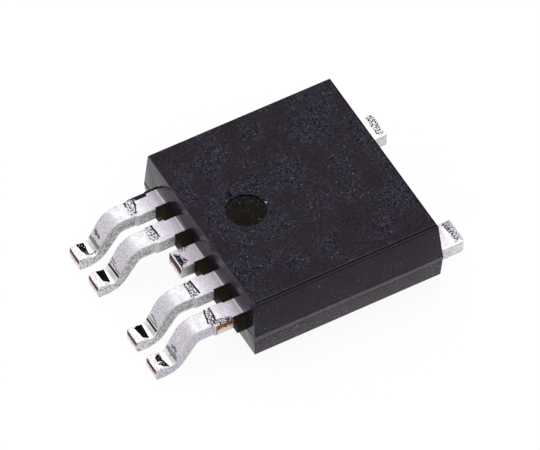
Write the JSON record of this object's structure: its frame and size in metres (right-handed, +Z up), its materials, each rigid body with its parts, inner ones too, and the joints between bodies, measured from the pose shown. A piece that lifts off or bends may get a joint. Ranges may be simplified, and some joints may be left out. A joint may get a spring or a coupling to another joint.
{
  "type": "voltage regulator",
  "caption": "Surface-mount voltage regulator: flat moulded body with gull-wing leads on one side, a trimmed middle lead, and a cooling slug whose eared tab leaves the other side.",
  "frame": {"origin": "middle of the footprint from the lead tips to the ends of the tab's ears, on the seating plane under the slug and the feet", "axes": "+Z up from the board, +Y from the leads to the cooling tab, +X across the leads from lead 1 to lead 5"},
  "size_m": [0.0066, 0.01, 0.0023],
  "materials": {
    "mould_epoxy": "fine matt, spark-eroded mould grain",
    "tinned_copper": "matt tin plating over copper",
    "silicon": "polished",
    "solder": "dull",
    "bond_wire": "drawn copper"
  },
  "bodies": {
    "root": {"mould_body": "mould_epoxy", "heat_slug": "tinned_copper", "lead_1": "tinned_copper", "lead_2": "tinned_copper", "lead_4": "tinned_copper", "lead_5": "tinned_copper", "chip": "silicon", "chip_solder": "solder", "bond_wire_1": "bond_wire", "bond_wire_2": "bond_wire", "bond_wire_3": "bond_wire", "bond_wire_4": "bond_wire", "bond_wire_5": "bond_wire"}
  },
  "joints": []
}
